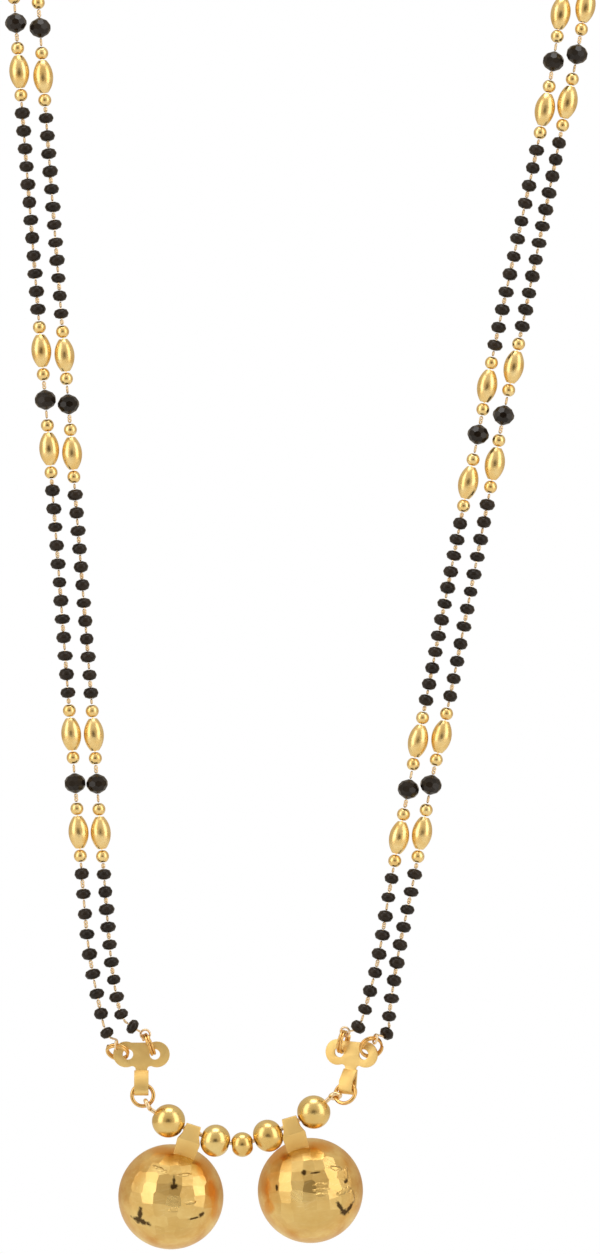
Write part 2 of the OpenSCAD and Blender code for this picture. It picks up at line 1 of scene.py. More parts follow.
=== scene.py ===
# Two-strand mangalsutra: real beads, links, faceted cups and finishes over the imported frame
import bpy, bmesh, json, math, random
from mathutils import Matrix, Vector

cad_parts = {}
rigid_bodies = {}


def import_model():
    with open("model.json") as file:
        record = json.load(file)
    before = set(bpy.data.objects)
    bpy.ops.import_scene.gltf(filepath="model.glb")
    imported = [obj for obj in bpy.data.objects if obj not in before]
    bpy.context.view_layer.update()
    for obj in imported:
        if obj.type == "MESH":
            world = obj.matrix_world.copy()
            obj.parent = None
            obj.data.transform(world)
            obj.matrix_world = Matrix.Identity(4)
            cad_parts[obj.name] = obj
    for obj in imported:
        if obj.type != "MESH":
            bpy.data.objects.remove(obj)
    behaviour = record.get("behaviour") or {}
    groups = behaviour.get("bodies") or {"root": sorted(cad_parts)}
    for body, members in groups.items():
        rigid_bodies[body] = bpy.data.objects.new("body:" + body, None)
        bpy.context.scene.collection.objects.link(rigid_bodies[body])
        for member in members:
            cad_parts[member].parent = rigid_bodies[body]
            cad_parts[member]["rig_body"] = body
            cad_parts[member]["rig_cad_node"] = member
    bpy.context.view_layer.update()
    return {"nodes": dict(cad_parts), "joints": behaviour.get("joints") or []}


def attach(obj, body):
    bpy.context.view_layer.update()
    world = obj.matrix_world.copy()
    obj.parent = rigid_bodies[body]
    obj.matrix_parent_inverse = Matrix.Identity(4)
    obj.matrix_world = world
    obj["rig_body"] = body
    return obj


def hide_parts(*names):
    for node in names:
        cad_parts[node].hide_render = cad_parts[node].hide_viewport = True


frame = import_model()
mm = 0.001
merge = {"cut": 0.0005 * mm, "sheet": 0.002 * mm, "wire": 0.005 * mm}  # points closer than this become one
print("frame loaded:", len(frame["nodes"]), "nodes")


# Working helpers

def deselectAll():
    if bpy.context.object and bpy.context.object.mode != "OBJECT":
        bpy.ops.object.mode_set(mode="OBJECT")
    bpy.ops.object.select_all(action="DESELECT")


def pick(piece):
    deselectAll()
    piece.select_set(True)
    bpy.context.view_layer.objects.active = piece


def editAll(piece):
    pick(piece)
    bpy.ops.object.mode_set(mode="EDIT")
    bpy.ops.mesh.select_all(action="SELECT")


def doneEditing():
    bpy.ops.object.mode_set(mode="OBJECT")


def settle(piece):  # puts the place, turn and scale into the mesh
    pick(piece)
    bpy.ops.object.transform_apply(location=True, rotation=True, scale=True)


def chooseFaces(piece, test):  # selects faces by their centre and normal, in face mode
    pick(piece)
    bpy.ops.object.mode_set(mode="EDIT")
    bpy.ops.mesh.select_mode(type="FACE")
    bpy.ops.mesh.select_all(action="DESELECT")
    work = bmesh.from_edit_mesh(piece.data)
    for face in work.faces:
        if test(face.calc_center_median(), face.normal):
            face.select_set(True)
    bmesh.update_edit_mesh(piece.data)


def cutOff(piece, point, direction, fill=True):  # a flat cut, the outer side thrown away
    editAll(piece)
    bpy.ops.mesh.bisect(plane_co=point, plane_no=direction, use_fill=fill, clear_outer=True,
                        threshold=merge["cut"])
    doneEditing()


def smoothBy(piece, degrees):
    pick(piece)
    bpy.ops.object.shade_smooth_by_angle(angle=math.radians(degrees))


def applyModifiers(piece):
    pick(piece)
    for modifier in list(piece.modifiers):
        bpy.ops.object.modifier_apply(modifier=modifier.name)


def boreEnds(piece, radius, cutZ):  # flat ends with a bore between them
    endZ, leastRim = cutZ * 0.98, 0.02 * mm
    cutOff(piece, (0, 0, cutZ), (0, 0, 1))
    cutOff(piece, (0, 0, -cutZ), (0, 0, -1))
    chooseFaces(piece, lambda centre, normal: abs(normal.z) > 0.999 and abs(centre.z) > endZ)
    endRadius = max(v.co.xy.length for v in piece.data.vertices if abs(v.co.z) > endZ)
    bpy.ops.mesh.inset(thickness=max(endRadius - radius, leastRim), use_individual=True)
    bpy.ops.mesh.delete(type="FACE")
    bpy.ops.mesh.select_all(action="DESELECT")
    bpy.ops.mesh.select_mode(type="EDGE")
    work = bmesh.from_edit_mesh(piece.data)
    for edge in work.edges:
        if edge.is_boundary:
            edge.select_set(True)
    bmesh.update_edit_mesh(piece.data)
    bpy.ops.mesh.bridge_edge_loops()
    bpy.ops.mesh.select_all(action="SELECT")
    bpy.ops.mesh.normals_make_consistent(inside=False)
    doneEditing()


def show(thing):
    bpy.context.scene.collection.objects.link(thing)


def rotation(degrees, axis, size=4):
    return Matrix.Rotation(math.radians(degrees), size, axis)


def weld(piece, distance):  # leaves the piece in edit mode
    editAll(piece)
    bpy.ops.mesh.remove_doubles(threshold=distance)


def roundEdges(piece, width, degrees):  # small rounding of all edges sharper than the given angle
    bevel = piece.modifiers.new("edges", "BEVEL")
    bevel.width, bevel.segments, bevel.limit_method = width, 3, "ANGLE"
    bevel.angle_limit = math.radians(degrees)
    applyModifiers(piece)


def placed(template, matrix):  # a copy with its own mesh, its place in the mesh
    copy = template.copy()
    copy.data = template.data.copy()
    copy.data.transform(matrix)
    copy.matrix_world = Matrix.Identity(4)
    show(copy)
    return copy


def joined(parts, name):
    deselectAll()
    for part in parts:
        part.select_set(True)
    bpy.context.view_layer.objects.active = parts[0]
    bpy.ops.object.join()
    piece = bpy.context.object
    piece.name = name
    piece.data.name = name
    return piece


def dress(piece, material, body, slotName, *nodes):
    piece.data.materials.clear()
    piece.data.materials.append(material)
    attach(piece, body)
    if nodes:
        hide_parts(*nodes)


def discard(template):
    bpy.data.objects.remove(template)


# Camera: level, long lens, the photograph's frame at the front plane

camera = {
    "frontPlane": -0.1,
    "distance": 1.6,
    "height": -0.174,
    "frameHeight": 0.228,  # what the long side of the frame holds at the front plane
    "sensor": 36,
    "clip": (0.05, 20),
}
cameraData = bpy.data.cameras.new("camera")
cameraData.sensor_width = camera["sensor"]
cameraData.lens = camera["sensor"] * camera["distance"] / camera["frameHeight"]
cameraData.clip_start, cameraData.clip_end = camera["clip"]
cameraObject = bpy.data.objects.new("camera", cameraData)
cameraObject.location = (0, camera["frontPlane"] - camera["distance"], camera["height"])
cameraObject.rotation_euler = (math.radians(90), 0, 0)
show(cameraObject)
bpy.context.scene.camera = cameraObject
print("camera made")


# Finishes

def linear(colour):  # display colour to scene colour
    return tuple(c / 12.92 if c <= 0.04045 else ((c + 0.055) / 1.055) ** 2.4 for c in colour) + (1.0,)


def startGroup(name, inputs, outputs):
    group = bpy.data.node_groups.new(name, "ShaderNodeTree")
    for label, kind, value in inputs:
        socket = group.interface.new_socket(name=label, in_out="INPUT", socket_type="NodeSocket" + kind)
        if value is not None:
            socket.default_value = value
    for label, kind in outputs:
        group.interface.new_socket(name=label, in_out="OUTPUT", socket_type="NodeSocket" + kind)
    return group, group.nodes.new("NodeGroupInput").outputs, group.nodes.new("NodeGroupOutput")


def feed(tree, node, values):  # numbers and colours go on the sockets, outputs are linked to them
    for label, value in values.items():
        if isinstance(value, (int, float, tuple)):
            node.inputs[label].default_value = value
        elif value is not None:
            tree.links.new(value, node.inputs[label])


def addNode(tree, kind, values, **settings):
    node = tree.nodes.new("ShaderNode" + kind)
    for name, setting in settings.items():
        setattr(node, name, setting)
    feed(tree, node, values)
    return node.outputs


def addNoise(tree, vector, scale, detail, roughness=0.5):
    return addNode(tree, "TexNoise", {"Vector": vector, "Scale": scale, "Detail": detail,
                                      "Roughness": roughness})["Fac"]


def addMath(tree, operation, first, second=None):
    return addNode(tree, "Math", {0: first, 1: second}, operation=operation)[0]


def addRange(tree, value, low, high, toLow, toHigh):
    return addNode(tree, "MapRange", {"Value": value, "From Min": low, "From Max": high,
                                      "To Min": toLow, "To Max": toHigh}, clamp=True)["Result"]


def addShares(tree, first, firstShare, second, secondShare):  # sum of two values by their shares
    return addMath(tree, "ADD", addMath(tree, "MULTIPLY", first, firstShare),
                   addMath(tree, "MULTIPLY", second, secondShare))


def addFaceValue(tree, name):
    return addNode(tree, "Attribute", {}, attribute_name=name)["Fac"]


def addMix(tree, amount, first, second):
    return addNode(tree, "Mix", {"Factor": amount, "A": first, "B": second}, data_type="RGBA")["Result"]


def makeToneDrift():  # slow change of the plating from a pale to a deep tone
    group, given, out = startGroup("toneDrift", (
        ("Vector", "Vector", None), ("Pale", "Color", (1, 0.8, 0.4, 1)), ("Deep", "Color", (0.8, 0.5, 0.15, 1)),
        ("Scale", "Float", 300.0), ("Shift", "Float", 0.5)), (("Color", "Color"), ("Mask", "Float")))
    noise = addNoise(group, given["Vector"], given["Scale"], detail=3, roughness=0.55)
    softness = 0.22
    low = addMath(group, "SUBTRACT", given["Shift"], softness)
    high = addMath(group, "ADD", given["Shift"], softness)
    mask = addRange(group, noise, low, high, 0.0, 1.0)
    feed(group, out, {"Mask": mask, "Color": addMix(group, mask, given["Pale"], given["Deep"])})
    return group


def makeToolLines():  # fine lines left by a cutting or polishing tool, along the local X
    group, given, out = startGroup("toolLines", (
        ("Vector", "Vector", None), ("Scale", "Float", 900.0), ("Length", "Float", 0.06)),
        (("Height", "Float"), ("Scratch", "Float")))
    stretch = addNode(group, "CombineXYZ", {"X": given["Length"], "Y": 1.0, "Z": 1.0})["Vector"]
    scaled = addNode(group, "VectorMath", {0: given["Vector"], 1: stretch}, operation="MULTIPLY")["Vector"]
    coarseSize, fineShare, coarseShare, scratchFrom, scratchFull = 0.3, 0.6, 0.4, 0.55, 0.75
    lines = addNoise(group, scaled, given["Scale"], detail=4, roughness=0.65)
    coarse = addNoise(group, scaled, addMath(group, "MULTIPLY", given["Scale"], coarseSize), detail=1)
    feed(group, out, {"Height": addShares(group, lines, fineShare, coarse, coarseShare),
                      "Scratch": addRange(group, lines, scratchFrom, scratchFull, 0.0, 1.0)})
    return group


def makeHandMarks():  # soft dents and hairline marks of wear
    group, given, out = startGroup("handMarks", (
        ("Vector", "Vector", None), ("Dent Scale", "Float", 350.0), ("Hair Scale", "Float", 1500.0)),
        (("Height", "Float"), ("Haze", "Float")))
    dents = addNoise(group, given["Vector"], given["Dent Scale"], detail=2, roughness=0.45)
    hairs = addNode(group, "TexVoronoi", {"Vector": given["Vector"], "Scale": given["Hair Scale"]},
                    feature="DISTANCE_TO_EDGE")["Distance"]
    hairWide, hairDeep, hazeFrom, hazeFull = 0.05, 0.03, 0.35, 0.7
    hair = addMath(group, "MULTIPLY", addRange(group, hairs, 0.0, hairWide, 1.0, 0.0), hairDeep)
    feed(group, out, {"Height": addMath(group, "SUBTRACT", dents, hair),
                      "Haze": addRange(group, dents, hazeFrom, hazeFull, 0.0, 1.0)})
    return group


groups = {"toneDrift": makeToneDrift(), "toolLines": makeToolLines(), "handMarks": makeHandMarks()}


def useGroup(tree, name, vector, values):
    return addNode(tree, "Group", {"Vector": vector, **values}, node_tree=groups[name])


def addTone(tree, vector, pale, deep, scale, shift=0.5):
    return useGroup(tree, "toneDrift", vector, {
        "Pale": linear(pale), "Deep": linear(deep), "Scale": scale, "Shift": shift})["Color"]


def startMaterial(name, turn=(0, 0, 0), centre=(0, 0, 0)):
    material = bpy.data.materials.new(name)
    material.use_nodes = True
    tree = material.node_tree
    shader = tree.nodes["Principled BSDF"]
    vector = addNode(tree, "Mapping", {
        "Vector": addNode(tree, "TexCoord", {})["Object"], "Location": tuple(centre),
        "Rotation": tuple(math.radians(a) for a in turn)}, vector_type="TEXTURE")["Vector"]
    return material, tree, shader, vector


def addBump(tree, height, strength, depth, normal=None):
    return addNode(tree, "Bump", {"Height": height, "Strength": strength, "Distance": depth,
                                  "Normal": normal})["Normal"]


# tones as displayed, range of roughness, dents, then strength, scale and length of the tool lines
lookColumns = ("pale", "deep", "rough", "dentScale", "dent", "lines", "lineScale", "length")
goldLooks = {
    "polished": ((0.95, 0.85, 0.58), (0.91, 0.76, 0.45), (0.22, 0.33), 300, 0.26, 0.05, 1500, 0.08),
    "ring": ((0.96, 0.82, 0.54), (0.87, 0.65, 0.36), (0.16, 0.3), 500, 0.25, 0.05, 2500, 0.2),
    "sheet": ((0.99, 0.88, 0.6), (0.95, 0.81, 0.51), (0.46, 0.58), 200, 0.03, 0.04, 2600, 0.05),
    "bead": ((0.99, 0.9, 0.66), (0.95, 0.8, 0.5), (0.24, 0.36), 900, 0.35, 0.02, 2500, 0.2),
    "wire": ((1.0, 0.92, 0.77), (0.96, 0.83, 0.64), (0.3, 0.44), 700, 0.2, 0.1, 3000, 0.3),
}
goldShares = {"toneScale": 0.7, "dentHaze": 0.6, "lineHaze": 0.4,
              "dentDepth": 0.12 * mm, "lineDepth": 0.02 * mm}


def makeGold(kind, turn=(0, 0, 0)):
    look = dict(zip(lookColumns, goldLooks[kind]))
    material, tree, shader, vector = startMaterial(kind + "Gold", turn)
    lines = useGroup(tree, "toolLines", vector, {"Scale": look["lineScale"], "Length": look["length"]})
    marks = useGroup(tree, "handMarks", vector, {"Dent Scale": look["dentScale"]})
    haze = addShares(tree, marks["Haze"], goldShares["dentHaze"], lines["Scratch"], goldShares["lineHaze"])
    dents = addBump(tree, marks["Height"], look["dent"], goldShares["dentDepth"])
    feed(tree, shader, {
        "Base Color": addTone(tree, vector, look["pale"], look["deep"],
                              look["dentScale"] * goldShares["toneScale"]),
        "Roughness": addRange(tree, haze, 0.0, 1.0, *look["rough"]), "Metallic": 1.0,
        "Normal": addBump(tree, lines["Height"], look["lines"], goldShares["lineDepth"], dents)})
    return material


glassLooks = {
    "seed": {"dark": (0.12, 0.095, 0.075), "warm": (0.2, 0.155, 0.115), "rough": (0.24, 0.38),
             "dent": 0.2, "ior": 1.33},
    "faceted": {"dark": (0.1, 0.08, 0.065), "warm": (0.17, 0.135, 0.105), "rough": (0.1, 0.18),
                "dent": 0.1, "ior": 1.38},
}
glassMarks = {"toneScale": 420.0, "toneShift": 0.6, "dentScale": 900.0, "hairScale": 2600.0, "depth": 0.08 * mm}


def makeBlackGlass(kind):
    look = glassLooks[kind]
    material, tree, shader, vector = startMaterial(kind + "Glass")
    marks = useGroup(tree, "handMarks", vector, {
        "Dent Scale": glassMarks["dentScale"], "Hair Scale": glassMarks["hairScale"]})
    feed(tree, shader, {
        "Base Color": addTone(tree, vector, look["dark"], look["warm"], glassMarks["toneScale"],
                              glassMarks["toneShift"]),
        "Roughness": addRange(tree, marks["Haze"], 0.0, 1.0, *look["rough"]), "IOR": look["ior"],
        "Normal": addBump(tree, marks["Height"], look["dent"], glassMarks["depth"])})
    return material


polishedGold, ringGold, sheetGold = makeGold("polished"), makeGold("ring"), makeGold("sheet", (0, 80, 0))
beadGold, wireGold = makeGold("bead"), makeGold("wire")
seedGlass, facetedGlass = makeBlackGlass("seed"), makeBlackGlass("faceted")
print("finishes made")


# The strings' routes, as in the solids, in millimetres, and which of their points hold a faceted bead

strandRoutes = [
    [(-35.1, -100.3, -247.8), (-36.2, -100, -244.2), (-38.4, -100, -232.6), (-39.7, -100, -218.6),
     (-40.9, -100, -202.4), (-42.2, -100, -185.8), (-45, -100, -149.3), (-46.3, -100, -132.7),
     (-47.6, -100, -116.9), (-50.5, -99.7, -80.5), (-51.7, -99, -64.1), (-53.6, -96, -40),
     (-56, -88, -20), (-57.6, -72, -3), (-55, -50, 9), (-46, -28, 14), (-32, -12, 12), (-19, -3, 7)],
    [(-30.3, -99.6, -246.8), (-32.6, -100, -244.2), (-34.3, -100, -234.9), (-35.7, -100, -218.3),
     (-36.9, -100, -202.5), (-38, -100, -186.3), (-40.9, -100, -149.6), (-42.1, -100, -133.5),
     (-43.4, -100, -117.4), (-46.2, -99.7, -81.2), (-47.3, -99, -65), (-49.2, -96, -41),
     (-51.6, -88, -22.5), (-53.2, -72.5, -6.5), (-51, -51, 5), (-43, -30, 9.6), (-30, -14.5, 8),
     (-18, -6.5, 4)],
    [(10.7, -99.6, -246.6), (12.7, -100, -240.3), (14.4, -100, -233.4), (16.6, -100, -220),
     (19.7, -100, -203.5), (22.9, -100, -187.4), (29.4, -100, -153.7), (32.4, -100, -139),
     (35.8, -100, -121), (43, -99.7, -87.4), (46.1, -99, -71.1), (49.8, -96, -46), (53, -88, -25),
     (54.6, -72.5, -7.5), (52, -51, 5), (43.5, -30, 9.6), (30, -14.5, 8), (18, -6.5, 4)],
    [(16, -100, -247.6), (16.3, -100, -243.8), (18.1, -100, -232.2), (20.8, -100, -219.2),
     (23.8, -100, -202.7), (27.4, -100, -186.1), (34, -100, -152), (37, -100, -135.5),
     (40.4, -100, -119.4), (47.3, -99.7, -85), (50.4, -99, -69.8), (54.6, -96, -45), (57.6, -88, -23),
     (59, -72, -4), (56, -50, 9), (46.5, -28, 14), (32, -12, 12), (19, -3, 7)],
]
groupPoints = (4, 7, 10)

barFrames = {  # middle of the ears, turn about Z, roll about Y
    "left": (Vector((-28.85, -99.1, -251.75)) * mm, 0, 0),
    "right": (Vector((9.4, -99.1, -251.55)) * mm, -25, 4),
}
doubleRings = [  # bar, ear, shift in the hole, direction to the hole, lean, where the string holds it
    {"bar": "left", "ear": -1, "shift": (-0.02, 0), "out": -14, "lean": 42, "hold": 105},
    {"bar": "left", "ear": 1, "shift": (-0.35, 0), "out": -69, "lean": 8, "hold": 180},
    {"bar": "right", "ear": -1, "shift": (0.2, 0), "out": -101, "lean": 8, "hold": 172},
    {"bar": "right", "ear": 1, "shift": (0.02, 0), "out": -133, "lean": -40, "hold": 160},
]
sizes = {
    "seedLength": 2.04 * mm, "seedPitch": 3.22 * mm,
    "black": 3.9 * mm, "blackLength": 3.7 * mm,
    "small": 2.4 * mm, "oval": 3.7 * mm, "ovalLength": 5.9 * mm, "ovalLip": 0.25 * mm,
    "linkGap": 1.6 * mm, "runGap": 1.05 * mm, "frontGap": 1.75 * mm, "backGap": 4.5 * mm,
    "beadGap": 0.15 * mm, "bore": 1.0 * mm, "groupPitch": 68.8 * mm,
    "holeX": 2.45 * mm, "ringRadius": 1.95 * mm, "backRing": 2.2 * mm,
    "backX": (2 * 2.6 - 0.55 - 0.4 - 0.1 + 2.2) * mm,  # two bends, half of each wire, the play, the back ring
    "backAngle": 28, "routeSteps": 6, "probe": 0.4 * mm,
}
stringNames = ["left_outer", "left_inner", "right_inner", "right_outer"]
seedCounts = [(9, 12, 12), (10, 12, 12), (9, 12, 12), (10, 12, 12)]  # visible from the front, upwards


def barMatrix(name):
    place, turn, roll = barFrames[name]
    return Matrix.Translation(place) @ rotation(turn, "Z") @ rotation(roll, "Y")


def ringFrame(ring):  # centre, direction to the hole, direction of the wire there
    out, lean = math.radians(ring["out"]), math.radians(ring["lean"])
    toHole = Vector((math.cos(out), 0, math.sin(out)))
    alongWire = Vector((-math.sin(out) * math.sin(lean), -math.cos(lean), math.cos(out) * math.sin(lean)))
    hole = Vector((ring["ear"] * sizes["holeX"] + ring["shift"][0] * mm, 0, ring["shift"][1] * mm))
    bar = barMatrix(ring["bar"])
    turn = bar.to_3x3()
    return bar @ (hole - sizes["ringRadius"] * toHole), turn @ toHole, turn @ alongWire


def ringPoint(ring, radius, degrees):
    angle = math.radians(degrees)
    return ring[0] + radius * (math.cos(angle) * ring[1] + math.sin(angle) * ring[2])


def ringTangent(ring, degrees):
    angle = math.radians(degrees)
    return math.cos(angle) * ring[2] - math.sin(angle) * ring[1]


def between(a, b, c, d, t):
    return 0.5 * ((2 * b) + (c - a) * t + (2 * a - 5 * b + 4 * c - d) * t * t
                  + (3 * b - a - 3 * c + d) * t * t * t)


class String:
    def __init__(self, index):
        self.name = stringNames[index]
        self.seedCounts = seedCounts[index]
        side = -1 if index < 2 else 1
        self.front = ringFrame(doubleRings[index])
        self.frontAngle = doubleRings[index]["hold"]
        self.back = (Vector((side * sizes["backX"], 0, 0)), Vector((side, 0, 0)), Vector((0, 1, 0)))
        self.backAngle = (1, -1, -1, 1)[index] * sizes["backAngle"]
        points = [ringPoint(self.front, sizes["ringRadius"], self.frontAngle)]
        points += [Vector([c * mm for c in p]) for p in strandRoutes[index]]
        points += [ringPoint(self.back, sizes["backRing"], self.backAngle)]
        last, steps = len(points) - 1, sizes["routeSteps"]
        self.path = [between(points[max(i - 1, 0)], points[i], points[i + 1],
                             points[min(i + 2, last)], j / steps)
                     for i in range(last) for j in range(steps)] + [points[last]]
        self.lengths = [0.0]
        for a, b in zip(self.path, self.path[1:]):
            self.lengths.append(self.lengths[-1] + (b - a).length)
        self.total = self.lengths[-1]
        self.groups = [self.lengths[(i + 1) * steps] for i in groupPoints]
        self.groups.append(self.groups[-1] + sizes["groupPitch"])

    def at(self, s):
        s = min(max(s, 0), self.total)
        for i in range(1, len(self.lengths)):
            if s <= self.lengths[i]:
                share = (s - self.lengths[i - 1]) / (self.lengths[i] - self.lengths[i - 1])
                return self.path[i - 1].lerp(self.path[i], share)
        return self.path[-1]

    def stand(self, s, spin=0.0):  # Z along the string at that length, turned by spin about it
        along = (self.at(s + sizes["probe"]) - self.at(s - sizes["probe"])).normalized()
        side = Vector((0, -1, 0)).cross(along).normalized()
        turn = Matrix((side, along.cross(side), along)).transposed().to_4x4()
        return Matrix.Translation(self.at(s)) @ turn @ rotation(spin, "Z")


nearBall = sizes["blackLength"] / 2 + sizes["linkGap"] + sizes["small"] / 2
ovalPlace = nearBall + sizes["small"] / 2 + sizes["beadGap"] + sizes["ovalLength"] / 2
farBall = ovalPlace + sizes["ovalLength"] / 2 + sizes["beadGap"] + sizes["small"] / 2
groupHalf = farBall + sizes["small"] / 2 + sizes["runGap"]
strings = [String(i) for i in range(4)]


def seedRuns(string):
    g = string.groups
    edges = [(sizes["frontGap"], g[0] - groupHalf)]
    edges += [(g[i] + groupHalf, g[i + 1] - groupHalf) for i in range(len(g) - 1)]
    edges.append((g[-1] + groupHalf, string.total - sizes["backGap"]))
    return edges


def seedPlaces(string):  # middle of each seed bead, run by run
    runs = []
    for i, (start, end) in enumerate(seedRuns(string)):
        count = round((end - start - sizes["seedLength"]) / sizes["seedPitch"]) + 1
        if i < len(string.seedCounts):
            count = string.seedCounts[i]
        step = (end - start - sizes["seedLength"]) / (count - 1)
        runs.append([start + sizes["seedLength"] / 2 + step * i for i in range(count)])
    return runs


for string in strings:
    print(string.name, "length %.1f mm" % (string.total / mm), "seeds", [len(r) for r in seedPlaces(string)])


# Seed bead: a short drum with rounded shoulders and a bore

seed = {"sides": 10, "shoulder": 0.9 * mm, "barrel": 1.41 * mm, "trim": 0.001 * mm}


def modelSeed():
    deselectAll()
    bpy.ops.mesh.primitive_cylinder_add(vertices=seed["sides"], radius=seed["barrel"],
                                        depth=sizes["seedLength"], end_fill_type="NGON")
    bead = bpy.context.object
    chooseFaces(bead, lambda centre, normal: abs(normal.z) > 0.9)
    bpy.ops.mesh.select_mode(type="EDGE")
    bpy.ops.mesh.region_to_loop()
    bpy.ops.mesh.bevel(offset=seed["shoulder"], segments=2, profile=0.5)
    doneEditing()
    boreEnds(bead, sizes["bore"] / 2, sizes["seedLength"] / 2 - seed["trim"])
    smoothBy(bead, 60)
    return bead


# Link loop: one turn of thin wire at the end of a bead's pin, long along Z from the origin

link = {"wire": 0.15 * mm, "width": 0.4 * mm, "overlap": 0.5 * mm, "unit": 1 * mm, "sides": 10, "wireSides": 5,
        "pin": 0.2 * mm, "pinSides": 6, "pinShare": 0.98, "turn": 20}


def modelLoop():  # 1 mm long before it is stretched to its gap
    deselectAll()
    bpy.ops.mesh.primitive_torus_add(major_segments=link["sides"], minor_segments=link["wireSides"],
                                     major_radius=link["width"] - link["wire"], minor_radius=link["wire"],
                                     rotation=(math.radians(90), 0, 0))
    loop = bpy.context.object
    settle(loop)
    editAll(loop)
    bpy.ops.transform.resize(value=(1, 1, link["unit"] / 2 / link["width"]))
    bpy.ops.transform.translate(value=(0, 0, link["unit"] / 2))
    doneEditing()
    smoothBy(loop, 80)
    return loop


def modelPin():  # straight wire through a bead, 1 mm long before it is stretched
    deselectAll()
    bpy.ops.mesh.primitive_cylinder_add(vertices=link["pinSides"], radius=link["pin"],
                                        depth=link["unit"], end_fill_type="NGON")
    pin = bpy.context.object
    editAll(pin)
    bpy.ops.mesh.subdivide(number_cuts=1)
    doneEditing()
    smoothBy(pin, 50)
    return pin


# Gold beads: a small round ball, and a smooth oval that is a little uneven

ballMesh = {"segments": 20, "ring_count": 12}
gold = {"sides": 32, "rings": 14, "uneven": 0.02 * mm, "trim": 0.02 * mm, "ballCut": 0.9,
        "waves": ((3, 0), (5, 900), (2, -700))}  # count round the bead, twist along it


def modelSmallBall():
    deselectAll()
    bpy.ops.mesh.primitive_uv_sphere_add(**ballMesh, radius=sizes["small"] / 2)
    ball = bpy.context.object
    boreEnds(ball, sizes["bore"] / 2, sizes["small"] / 2 * gold["ballCut"])
    smoothBy(ball, 40)
    return ball


def ovalRadius(z):  # the arc of the solid oval bead
    half, wide, mouth = sizes["ovalLength"] / 2, sizes["oval"] / 2, sizes["bore"] / 2 + sizes["ovalLip"]
    arc = (half ** 2 + (wide - mouth) ** 2) / (2 * (wide - mouth))
    return wide - arc + math.sqrt(arc ** 2 - z ** 2)


def modelOval(seedNumber):
    chance = random.Random(seedNumber)
    deselectAll()
    bpy.ops.mesh.primitive_cylinder_add(vertices=gold["sides"], radius=1 * mm,
                                        depth=sizes["ovalLength"], end_fill_type="NGON")
    bead = bpy.context.object
    half = sizes["ovalLength"] / 2
    for i in range(1, gold["rings"]):  # rings of points along the barrel
        editAll(bead)
        bpy.ops.mesh.bisect(plane_co=(0, 0, half * (2 * i / gold["rings"] - 1)), plane_no=(0, 0, 1))
        doneEditing()
    waves = [(count, chance.uniform(0, 2 * math.pi), twist) for count, twist in gold["waves"]]
    for v in bead.data.vertices:  # swelled to the oval, a little uneven all over
        angle, z = math.atan2(v.co.y, v.co.x), v.co.z
        wave = sum(math.cos(count * angle + start + twist * z) for count, start, twist in waves) - len(waves)
        v.co.xy = v.co.xy.normalized() * (ovalRadius(z) + gold["uneven"] / len(waves) * wave)
    boreEnds(bead, sizes["bore"] / 2, half - gold["trim"])
    smoothBy(bead, 40)
    return bead


# Black glass bead cut all over in flat facets

crystal = {"around": 10, "uncut": 1.03, "cut": 0.96, "ends": 0.98,
           "rows": ((0, 1.0, 0), (33, 0.965, 0.5), (-33, 0.965, 0.5), (62, 0.93, 0), (-62, 0.93, 0))}


def modelCrystal():
    deselectAll()
    bpy.ops.mesh.primitive_uv_sphere_add(**ballMesh, radius=sizes["black"] / 2 * crystal["uncut"])
    bead = bpy.context.object
    for tilt, share, step in crystal["rows"]:  # rows of facets, every second one set off by half a facet
        rise = math.radians(tilt)
        for k in range(crystal["around"]):
            angle = 2 * math.pi * (k + step) / crystal["around"]
            flat = math.cos(rise)
            normal = Vector((math.cos(angle) * flat, math.sin(angle) * flat, math.sin(rise)))
            cutOff(bead, normal * sizes["black"] / 2 * crystal["cut"] * share, normal)
    boreEnds(bead, sizes["bore"] / 2, sizes["blackLength"] / 2 * crystal["ends"])
    pick(bead)
    bpy.ops.object.shade_flat()
    return bead


def stringBeads(string):  # all places of one string: kind, middle, half length
    items = []
    for run in seedPlaces(string):
        items += [("seed", s, sizes["seedLength"] / 2) for s in run]
    for g in string.groups:
        items.append(("black", g, sizes["blackLength"] / 2))
        for way in (-1, 1):  # the three gold beads share one pin
            items.append(("gold", g + way * ovalPlace, farBall - ovalPlace + sizes["small"] / 2))
    return sorted(items, key=lambda item: item[1])


seedBead, linkLoop, linkPin = modelSeed(), modelLoop(), modelPin()
smallBall, crystalBead = modelSmallBall(), modelCrystal()
ovalBeads = [modelOval(3), modelOval(8)]
print("beads modelled: seed", len(seedBead.data.polygons), "faces, oval", len(ovalBeads[0].data.polygons),
      "faces, crystal", len(crystalBead.data.polygons), "faces")


eye = {"radius": 0.85 * mm, "wire": 0.2 * mm, "sides": 28, "wireSides": 8, "gap": 0.1 * mm, "stem": 0.9}


